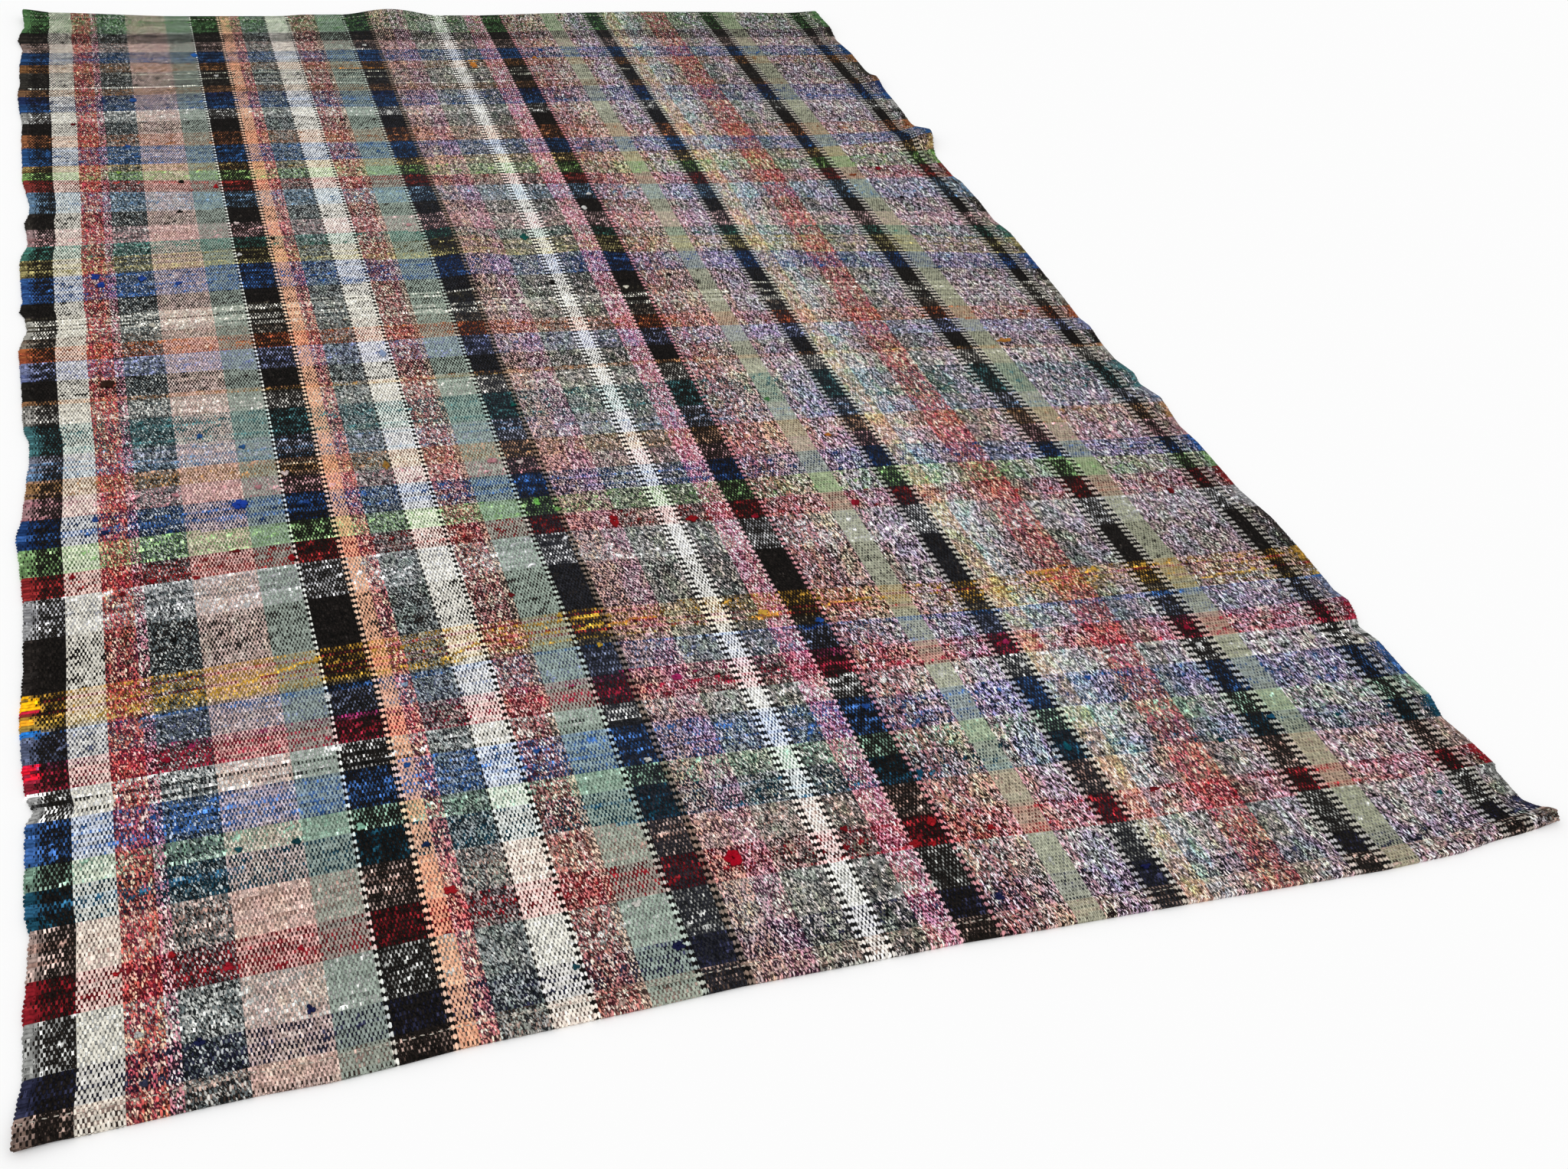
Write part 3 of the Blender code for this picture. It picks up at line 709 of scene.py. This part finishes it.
    # The marled yarns are dyed in lengths, so their hue drifts, over 10 mm by 67 mm, and so does a faint
    # tint, over 32 mm by 63 mm
    dyed = add("CombineXYZ", add("Math:MULTIPLY", seen, 0.23), add("Math:MULTIPLY", along, 0.085), 0.0)
    dyed = add("TexNoise", dyed, None, 1.0, 2.0, 0.6, noise_dimensions="2D")
    dyed = add("Math:SUBTRACT", add("Math:MULTIPLY_ADD", float_luck, 0.12, dyed), 0.56)
    hue = add("Math:MULTIPLY_ADD", add("Math:MULTIPLY", dyed, grain), 0.17, 0.5)
    cotton = add("HueSaturation", hue, 0.95, 1.0, 1.0, cotton)
    drawn = add("VectorMath:MULTIPLY", threads, (0.07, 0.09, 0.0))
    tint = add("TexNoise", drawn, None, 1.0, 2.0, 0.6, noise_dimensions="2D")
    tint = add("Math:FRACT", add("Math:MULTIPLY_ADD", tint, 2.2, 0.75))
    tint = add("CombineColor", tint, 0.16, 1.0, mode="HSV")
    cotton = add("MixRGB", grain, cotton, tint, blend_type="MULTIPLY")

    # Each float is a little lighter or darker, as are spots of 5 mm by 10 mm. Its middle has painted light,
    # and its sides and the grooves between ribs have painted shade
    spread = add("Math:MULTIPLY_ADD", grain, 0.22, 0.20)
    tone_and_painted_shade = add("Math:MULTIPLY_ADD", add("Math:SUBTRACT", float_luck, 0.5), spread, 1.02)
    # painted light on the float's middle, painted shade towards its outline
    painted_float_shade = add("Math:MINIMUM", add("Math:ADD", dome, 0.26), 1.1)
    uneven = add("VectorMath:MULTIPLY", threads, (0.48, 0.60, 0.0))
    uneven = add("TexNoise", uneven, None, 1.0, 1.0, 0.5, noise_dimensions="2D")
    by_grain = add("Math:MULTIPLY_ADD", grain, 2.0, 1.2)
    uneven = add("Math:MULTIPLY_ADD", add("Math:SUBTRACT", uneven, 0.5), by_grain, 1.02)
    tone_and_painted_shade = add("Math:MULTIPLY", tone_and_painted_shade, uneven)
    tone_and_painted_shade = add("Math:MULTIPLY", tone_and_painted_shade, painted_float_shade)
    # painted shade in the grooves between ribs, painted light on the rib's middle
    to_side = add("Math:POWER", add("Math:MULTIPLY", add("Math:ABSOLUTE", from_seen), 1.9), 4.0)
    painted_groove_shade = add("Math:MULTIPLY", add("Math:MINIMUM", to_side, 1.0), rib)
    painted_groove_shade = add("Math:MULTIPLY_ADD", painted_groove_shade, -0.85, add("Math:MULTIPLY_ADD", rib, 0.16, 1.0))
    tone_and_painted_shade = add("Math:MULTIPLY", tone_and_painted_shade, painted_groove_shade)
    cotton = add("VectorMath:SCALE", cotton, None, None, tone_and_painted_shade)

    # The rags' lint stains the warps over them
    rag = add("Attribute", attribute_name="weft_colour")
    bright = add("RGBToBW", rag)
    lint = add("VectorMath:MULTIPLY_ADD", rag, (0.25, 0.25, 0.25), (0.84, 0.84, 0.84))
    stain = add("Math:MULTIPLY_ADD", rib, 0.05, 0.22)
    stain = add("Math:DIVIDE", stain, add("Math:ADD", bright, 0.12))
    stain = add("VectorMath:SCALE", add("VectorMath:SUBTRACT", rag, bright), None, None, stain)
    lint = add("VectorMath:ADD", lint, stain)
    cotton = add("VectorMath:MULTIPLY", cotton, lint)
    cotton = add("VectorMath:MINIMUM", cotton, (0.95, 0.95, 0.95))

    # The rag between and under the warps, with random specks and painted shade: darker the deeper it
    # lies, beside the warps and where a dark rag lies between light warps, and lighter for a pale rag, as
    # painted bounced light. Where it covers them it is a strip with creases 6 mm apart, and its creases and
    # rounded edges are painted shade
    # painted shade: the deeper the rag lies, the darker
    pit_painted_shade = add("Math:MULTIPLY_ADD", thick, 0.9, 0.52)
    speck_and_painted_shade = add("Math:MULTIPLY_ADD", add("Math:POWER", luck, 3.0), 1.5, 0.55)
    # painted shade beside the warps, lighter for a pale rag as painted bounced light
    painted_shade_beside_warps = add("Math:MULTIPLY_ADD", add("Math:SUBTRACT", from_float, 1.0), 0.9, 0.20)
    painted_shade_beside_warps = add("Math:MULTIPLY_ADD", bright, 0.22, painted_shade_beside_warps)
    painted_shade_beside_warps = add("Math:MAXIMUM", painted_shade_beside_warps, add("Math:MULTIPLY_ADD", thick, 2.5, -1.5))
    speck_and_painted_shade = add("Math:MULTIPLY", speck_and_painted_shade, add("Math:MINIMUM", painted_shade_beside_warps, 1.1))
    # painted shade in the creases of a covering rag and at its rounded edges
    painted_rag_crease_shade = add("VectorMath:MULTIPLY", threads, (0.35, 0.9, 0.0))
    painted_rag_crease_shade = add("TexNoise", painted_rag_crease_shade, None, 1.0, 2.0, 0.6, noise_dimensions="2D")
    painted_rag_crease_shade = add("Math:MULTIPLY_ADD", painted_rag_crease_shade, 1.3, 0.45)
    painted_rag_crease_shade = add("Math:MULTIPLY_ADD", add("Math:MULTIPLY", before, before), -2.2, painted_rag_crease_shade)
    speck_and_painted_shade = add("Math:MULTIPLY_ADD", add("Math:SUBTRACT", painted_rag_crease_shade, speck_and_painted_shade), covered, speck_and_painted_shade)
    # painted shade: a dark rag between light warps is darker still
    light_warp = add("RGBToBW", colours[0])
    dark_rag = add("Math:SUBTRACT", 1.0, bright)
    painted_deep_shade = add("Math:MULTIPLY_ADD", add("Math:MULTIPLY", light_warp, dark_rag), -0.6, 1.0)
    pit_painted_shade = add("Math:MULTIPLY", pit_painted_shade, painted_deep_shade)
    rag = add("VectorMath:SCALE", rag, None, None, add("Math:MULTIPLY", pit_painted_shade, speck_and_painted_shade))
    colour = add("MixRGB", is_warp, rag, cotton)
    tree.links.new(colour, shader.inputs["Base Color"])

    # The relief of the threads, at most a millimetre
    rag_round = add("Math:SUBTRACT", 1.0, add("Math:MULTIPLY", before, before))
    rag_high = add("Math:MULTIPLY", rag_round, add("Math:MULTIPLY_ADD", thick, 0.6, 0.15))
    warp_high = add("Math:MULTIPLY", add("Math:MULTIPLY", dome, is_warp), 0.6)
    height = add("Math:MAXIMUM", warp_high, rag_high)
    bump = add("Bump", 0.7, 0.001, None, height)
    tree.links.new(bump, shader.inputs["Normal"])
    return material


def bunched_material():
    """A cotton rag drawn into a lump: quite dull, with painted shade in creases about a millimetre apart."""
    material, tree, shader = new_material("bunched_rag", 0.9, 0.04)
    add = partial(add_node, tree)
    place = add("TexCoord", out=3)
    crease = add("TexNoise", place, None, 900.0, 2.0, 0.6)
    # painted shade in the creases
    painted_lump_crease_shade = add("Math:MULTIPLY", crease, 1.9)
    rag = add("Attribute", attribute_name="rag_colour")
    tree.links.new(add("VectorMath:SCALE", rag, None, None, painted_lump_crease_shade), shader.inputs["Base Color"])
    tree.links.new(add("Bump", 0.8, 0.0006, None, crease), shader.inputs["Normal"])
    return material


def thread_material():
    """Unbleached cotton sewing thread, tightly twisted, so slightly less dull than the rags."""
    material, _, shader = new_material("sewing_thread", 0.8, 0.1)
    shader.inputs["Base Color"].default_value = (*linear("b4aea2"), 1)
    return material


# ------------------------------------------------------------------------------------------------ the cloth


def place_object(name, data):
    """Puts a mesh, a lamp or the camera in the scene."""
    piece = bpy.data.objects.new(name, data)
    bpy.context.collection.objects.link(piece)
    return piece


def set_values(mesh, name, values, domain="FACE"):
    """Numbers or colours, kept on a mesh for its material."""
    kind = "FLOAT" if values.ndim == 1 else "FLOAT_COLOR"
    layer = mesh.attributes.new(name, kind, domain)
    if values.ndim == 1:
        layer.data.foreach_set("value", values.astype(np.float32))
    else:
        rgba = np.concatenate([values, np.ones((len(values), 1))], 1)
        layer.data.foreach_set("color", rgba.astype(np.float32).ravel())


def lay_maps(mesh, corners, on_top, column, warp_count, pick_count, edges):
    """The map "threads", which goes on over the rim, and the bake map, with all faces side by side."""
    warp, pick, upper = warp_count[corners], pick_count[corners], on_top[corners]
    rim = (upper.min(1) != upper.max(1))[:, None]
    first, last = pick_count.min(), pick_count.max()
    on_sides = [
        rim & (warp.max(1) == 0)[:, None],
        rim & (warp.min(1) == WARPS)[:, None],
        rim & (pick.max(1) == first)[:, None],
        rim & (pick.min(1) == last)[:, None],
    ]
    down = CLOTH * (1 - upper)
    shifts = (-down / WARP, down / WARP, -down / PICK, down / PICK)
    across, along = warp.copy(), pick.copy()
    for side, (on_side, shift) in enumerate(zip(on_sides, shifts)):
        moved = across if side < 2 else along
        moved += np.where(on_side, shift, 0)
    threads = mesh.uv_layers.new(name="threads")
    threads.data.foreach_set("uv", np.stack([across, along], 2).ravel())

    long = (last - first) * PICK
    middles = (np.array(edges[1:]) + np.array(edges[:-1])) / 2
    strip_of = np.floor(middles * MAP_STRIPS / WARPS).astype(int)
    strip = strip_of[np.clip(column[corners].min(1), 0, len(strip_of) - 1)][:, None]
    starts = np.array([edges[np.flatnonzero(strip_of == number)[0]] for number in range(MAP_STRIPS)])
    up = (pick - first) * PICK
    u = MAP_GAP + (warp - starts[strip]) * WARP * MAP_SCALE
    v = MAP_GAP + (strip * (long + MAP_GAP) + up) * MAP_SCALE
    under = (upper.max(1) == 0)[:, None]
    under_start = 1 - RIM_ROOM * MAP_GAP - PICKS / LENGTHS * PICK * MAP_UNDER
    u = np.where(under, under_start + up * MAP_UNDER, u)
    v = np.where(under | rim, MAP_GAP + warp * WARP * MAP_UNDER, v)
    for side, on_side in enumerate(on_sides):
        u = np.where(on_side, 1 - (RIM_FROM - RIM_STEP * side - upper) * MAP_GAP, u)
        if side < 2:
            v = np.where(on_side, MAP_GAP + up * MAP_UNDER, v)
    bake = mesh.uv_layers.new(name="OFBake")
    bake.data.foreach_set("uv", np.stack([u, v], 2).ravel())


def slab_mesh(name, columns, rows):
    """A slab of faces, closed all round and flat for now. The points of its upper side are marked."""
    slab = bmesh.new()
    bmesh.ops.create_grid(slab, x_segments=columns, y_segments=rows, size=0.5)
    sheet = list(slab.faces)
    bmesh.ops.extrude_face_region(slab, geom=sheet, use_keep_orig=True)
    for vert in slab.verts:
        vert.co.z = 0.0
    upper = slab.verts.layers.int.new("upper")
    for face in sheet:
        for vert in face.verts:
            vert[upper] = 1
    mesh = bpy.data.meshes.new(name)
    slab.to_mesh(mesh)
    slab.free()
    return mesh


def cloth_length(index, edges, rows, draft, material):
    """One length of the cloth: its face, its underside and a narrow rim."""
    columns = len(edges) - 1
    mesh = slab_mesh(f"cloth_{index}", columns, len(rows) - 1)
    count = len(mesh.vertices)
    places = np.zeros(count * 3)
    mesh.vertices.foreach_get("co", places)
    places = places.reshape(-1, 3)
    column = np.round((places[:, 0] + 0.5) * columns).astype(int)
    row = np.round((places[:, 1] + 0.5) * (len(rows) - 1)).astype(int)
    on_top = np.zeros(count, int)
    mesh.attributes["upper"].data.foreach_get("value", on_top)
    mesh.attributes.remove(mesh.attributes["upper"])
    warp_count = np.array(edges)[column]
    pick_count = np.array(rows, float)[row]
    x, y, z = laid_out(warp_count * WARP, pick_count * PICK)
    colours, thick = draft
    rag_thick = thick[np.round(pick_count).astype(int), column]
    high = thickness_at(pick_count * PICK) + on_top * RAG_LIFT * rag_thick
    z = z + height_share(pick_count * PICK, on_top) * high
    points = np.stack([x - MIDDLE[0], y - MIDDLE[1], z], 1)
    mesh.vertices.foreach_set("co", points.ravel())

    corner_vertex = np.zeros(len(mesh.loops), int)
    mesh.loops.foreach_get("vertex_index", corner_vertex)
    corners = corner_vertex.reshape(-1, 4)
    lay_maps(mesh, corners, on_top, column, warp_count, pick_count, edges)
    face_column = np.clip(column[corners].min(1), 0, columns - 1)
    face_pick = np.clip(np.floor(pick_count[corners].mean(1)), 0, PICKS - 1).astype(int)
    stripes = np.array(column_stripes(edges))[face_column]
    charts = {"warp_" + name: [linear(getattr(stripe, name)) for stripe in STRIPES] for name in YARNS}
    charts["ladder"] = [stripe.ladder for stripe in STRIPES]
    charts["grain"] = [stripe.grain for stripe in STRIPES]
    charts["rib"] = [max(stripe.grain, stripe.rib) for stripe in STRIPES]
    for name, chart in charts.items():
        set_values(mesh, name, np.array(chart)[stripes])
    set_values(mesh, "weft_colour", colours[face_pick, face_column])
    set_values(mesh, "weft_thick", rag_thick, "POINT")
    mesh.shade_smooth()
    mesh.set_sharp_from_angle(angle=math.radians(50))
    mesh.materials.append(material)
    piece = place_object(f"cloth_{index}", mesh)
    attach(piece, "root")
    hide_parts("rug")


def small_lumps(name, lumps, material, sides, bunched=0.0):
    """One piece of many closed lumps. Each is its middle, half its sizes, its turn and its colour."""
    chance = random.Random(SEED)
    shape = bmesh.new()
    mesh = bpy.data.meshes.new(name)
    for first in range(0, len(lumps), LUMPS_AT_ONCE):
        few = bmesh.new()
        for middle, half, turn, _ in lumps[first : first + LUMPS_AT_ONCE]:
            place = Matrix.Translation(middle) @ Matrix.Rotation(turn, 4, "Z") @ Matrix.Diagonal((*half, 1))
            rings = sides // 2 + 1
            made = bmesh.ops.create_uvsphere(few, u_segments=sides, v_segments=rings, radius=1, matrix=place)
            if bunched:
                start = chance.uniform(0, math.tau)
                for vert in made["verts"]:
                    out = vert.co - Vector(middle)
                    angle = math.atan2(out.y, out.x) + start
                    uneven = 1 + bunched * (math.sin(2 * angle) + 0.7 * math.sin(5 * angle + start))
                    vert.co = Vector(middle) + out * (uneven + chance.uniform(-bunched, bunched))
        few.to_mesh(mesh)
        few.free()
        shape.from_mesh(mesh)
    shape.to_mesh(mesh)
    shape.free()
    colours = np.array([colour for *_, colour in lumps])
    set_values(mesh, "rag_colour", np.repeat(colours, len(mesh.polygons) // len(lumps), axis=0))
    mesh.shade_smooth()
    mesh.materials.append(material)
    piece = place_object(name, mesh)
    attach(piece, "root")


def on_cloth(warp_place, weft_place, above=0.0):
    """A point in the scene, over the cloth's face at a place on it."""
    x, y, z = laid_out(np.array([warp_place]), np.array([weft_place]))
    top = thickness_at(weft_place)
    return float(x[0] - MIDDLE[0]), float(y[0] - MIDDLE[1]), float(z[0] + top) + above


def turn_wefts(colours):
    """The loops in which each rag turns round the outer warp."""
    chance = random.Random(SEED + 2)
    loops = []
    for pick in range(PICKS):
        for warp_place, column, out in ((0.0, 0, -1), (WIDTH, -1, 1)):
            x, y, z = on_cloth(warp_place, (pick + 0.5) * PICK, -CLOTH / 2)
            middle = (x - out * chance.uniform(0.0, LOOP_TUCK), y, z)
            half = (chance.uniform(*LOOP_OUT), PICK * chance.uniform(*LOOP_ROWS), chance.uniform(*LOOP_HIGH))
            turn = chance.uniform(-0.2, 0.2)
            loops.append((middle, half, turn, colours[pick, column] * chance.uniform(*LOOP_SHADE)))
    small_lumps("selvedge_loops", loops, bunched_material(), 8)


def tie_knots():
    """Each knot is a few lumps that lean on one another, more for a larger one."""
    chance = random.Random(SEED + 3)
    lumps = []
    for knot in KNOTS:
        wide, long = knot.wide * MM, knot.long * MM
        high = KNOT_HIGH + KNOT_STEEP * min(wide, long)
        # darkened by painted shade for its creases
        colour = np.array(linear(knot.colour)) * KNOT_PAINTED_SHADE
        count = 2 + round((knot.wide + knot.long) / KNOT_GROWTH)
        start = chance.uniform(0, math.tau)
        for number in range(count):
            angle = start + math.tau * number / count
            x = knot.across * MM + KNOT_SPREAD * wide * math.cos(angle)
            y = knot.along * MM + KNOT_SPREAD * long * math.sin(angle)
            lift = float(lift_at(np.array([x]), np.array([y]))[0])
            size = chance.uniform(*KNOT_LUMP) / math.sqrt(count)
            half = (size * wide, size * long, 0.6 * high * chance.uniform(0.7, 1.0))
            middle = (x - MIDDLE[0], y - MIDDLE[1], lift + CLOTH + 0.4 * high)
            lumps.append((middle, half, chance.uniform(-0.5, 0.5), colour * chance.uniform(0.75, 1.2)))
    small_lumps("knots", lumps, bunched_material(), 10, bunched=0.16)


def stitch_hems():
    """A running stitch across both hems. The thread's own material gives its colour."""
    chance = random.Random(SEED + 4)
    stitches = []
    count = int(WIDTH / STITCH_PITCH)
    for end in (STITCH_IN, LENGTH - STITCH_IN):
        for number in range(count):
            along = end + chance.uniform(-STITCH_STRAY, STITCH_STRAY)
            place = on_cloth((number + 0.5) * WIDTH / count, along, STITCH_LIFT)
            stitches.append((place, STITCH_HALF, chance.uniform(-0.15, 0.15), (1, 1, 1)))
    small_lumps("hem_stitches", stitches, thread_material(), 6)


def weave_cloth():
    """Works out the draft and makes the cloth's twelve lengths and its selvedge loops."""
    edges = column_edges()
    colours, thick = draft_wefts(edges)
    draft_bunches(thick)
    draft_streaks(colours, thick, edges)
    turn_wefts(colours)
    material = weave_material()
    cuts = [round(PICKS * part / LENGTHS) for part in range(LENGTHS + 1)]
    for index, (first, last) in enumerate(zip(cuts, cuts[1:]), start=1):
        rows = list(range(first, last + 1))
        if first == 0:
            rows[1:1] = FOLD_ROWS
        if last == PICKS:
            rows[-1:-1] = [PICKS - part for part in reversed(FOLD_ROWS)]
        cloth_length(index, edges, rows, (colours, np.clip(thick, 0, 1)), material)


# --------------------------------------------------------------------------------- floor, light and camera

# Where the photograph was taken from: the camera's place, its right, up and view directions, and its lens.
CAMERA_PLACE = (-0.67603, -2.39096, 1.41805)
CAMERA_RIGHT = (0.93853, -0.32481, 0.11692)
CAMERA_UP = (0.11510, 0.61372, 0.78109)
CAMERA_LOOK = (0.32546, 0.71961, -0.61338)
CAMERA_LENS = 38.686


def set_up_camera():
    """The photograph's own view, from beyond the near end and a little to the left."""
    camera = bpy.data.cameras.new("camera")
    camera.lens = CAMERA_LENS
    camera.sensor_width = 36
    camera.clip_end = 50
    holder = place_object("camera", camera)
    turn = Matrix((CAMERA_RIGHT, CAMERA_UP, [-value for value in CAMERA_LOOK])).transposed()
    holder.matrix_world = Matrix.Translation(CAMERA_PLACE) @ turn.to_4x4()
    bpy.context.scene.camera = holder


def set_up_floor():
    """A smooth, painted studio floor, nearly white and without shine."""
    floor_mesh = bmesh.new()
    bmesh.ops.create_grid(floor_mesh, x_segments=1, y_segments=1, size=30)
    mesh = bpy.data.meshes.new("floor")
    floor_mesh.to_mesh(mesh)
    floor_mesh.free()
    material, _, shader = new_material("pale_floor", 1.0, 0.0)
    shader.inputs["Base Color"].default_value = (0.93, 0.93, 0.93, 1)
    mesh.materials.append(material)
    floor = place_object("floor", mesh)
    floor.location.z = -0.0005  # a hair below the rug, so that the two never share a plane


def set_up_light():
    """An even white studio, with one large soft window light from high at the near left."""
    world = bpy.data.worlds.new("studio")
    world.use_nodes = True
    sky = world.node_tree.nodes["Background"]
    sky.inputs["Color"].default_value = (1, 1, 1, 1)
    sky.inputs["Strength"].default_value = 0.8
    bpy.context.scene.world = world
    lamp = bpy.data.lights.new("window", "SUN")
    lamp.energy = 1.0
    lamp.angle = math.radians(40)
    holder = place_object("window", lamp)
    holder.rotation_euler = (math.radians(30), math.radians(-25), 0)
    scene = bpy.context.scene
    scene.view_settings.view_transform = "Standard"
    scene.view_settings.look = "None"


weave_cloth()
tie_knots()
stitch_hems()
set_up_floor()
set_up_light()
set_up_camera()
